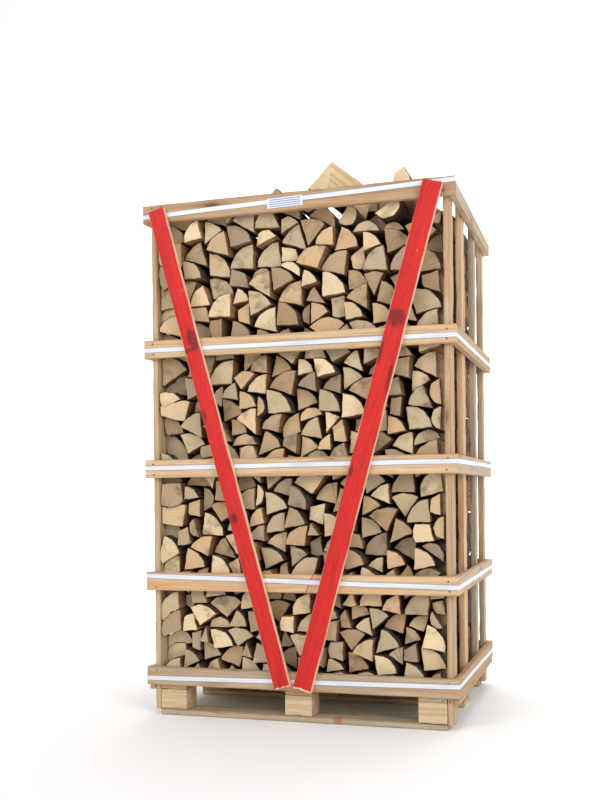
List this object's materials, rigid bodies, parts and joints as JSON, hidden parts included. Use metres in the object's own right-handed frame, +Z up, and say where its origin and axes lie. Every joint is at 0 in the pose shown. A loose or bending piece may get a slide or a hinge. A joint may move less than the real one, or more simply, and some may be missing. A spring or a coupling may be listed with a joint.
{
  "type": "crated firewood pallet",
  "caption": "Split firewood stacked on a wooden pallet, held by a crate of posts, rails and white straps, with two red slanting boards.",
  "frame": {"origin": "on the ground, under the middle of the crate", "axes": "+X to the right along the front with the red boards, +Y to the back, +Z up"},
  "size_m": [1.202, 1.0263, 2.085],
  "materials": {
    "crate_wood": "sawn, unpainted",
    "pallet_wood": "sawn, weathered",
    "red_paint": "painted red, scuffed",
    "strap": "white strapping band",
    "firewood": "split and sawn, with bark"
  },
  "bodies": {
    "root": {"front_bottom_board": "pallet_wood", "front_left_block": "pallet_wood", "front_middle_block": "pallet_wood", "front_right_block": "pallet_wood", "middle_bottom_board": "pallet_wood", "middle_left_block": "pallet_wood", "middle_middle_block": "pallet_wood", "middle_right_block": "pallet_wood", "back_bottom_board": "pallet_wood", "back_left_block": "pallet_wood", "back_middle_block": "pallet_wood", "back_right_block": "pallet_wood", "left_stringer": "pallet_wood", "middle_stringer": "pallet_wood", "right_stringer": "pallet_wood", "deck_board_1": "pallet_wood", "deck_board_2": "pallet_wood", "deck_board_3": "pallet_wood", "deck_board_4": "pallet_wood", "deck_board_5": "pallet_wood", "left_post_1": "crate_wood", "right_post_1": "crate_wood", "left_post_2": "crate_wood", "right_post_2": "crate_wood", "left_post_3": "crate_wood", "right_post_3": "crate_wood", "left_post_4": "crate_wood", "right_post_4": "crate_wood", "bottom_front_rail": "crate_wood", "bottom_back_rail": "crate_wood", "bottom_left_rail": "crate_wood", "bottom_right_rail": "crate_wood", "lower_front_rail": "crate_wood", "lower_back_rail": "crate_wood", "lower_left_rail": "crate_wood", "lower_right_rail": "crate_wood", "middle_front_rail": "crate_wood", "middle_back_rail": "crate_wood", "middle_left_rail": "crate_wood", "middle_right_rail": "crate_wood", "upper_front_rail": "crate_wood", "upper_back_rail": "crate_wood", "upper_left_rail": "crate_wood", "upper_right_rail": "crate_wood", "top_front_rail": "crate_wood", "top_back_rail": "crate_wood", "top_left_rail": "crate_wood", "top_right_rail": "crate_wood", "bottom_strap": "strap", "lower_strap": "strap", "middle_strap": "strap", "upper_strap": "strap", "top_strap": "strap", "red_left_board": "red_paint", "red_right_board": "red_paint", "firewood_front_row": "firewood", "firewood_middle_row": "firewood", "firewood_back_row": "firewood", "big_top_log": "firewood", "small_top_log": "firewood"}
  },
  "joints": []
}
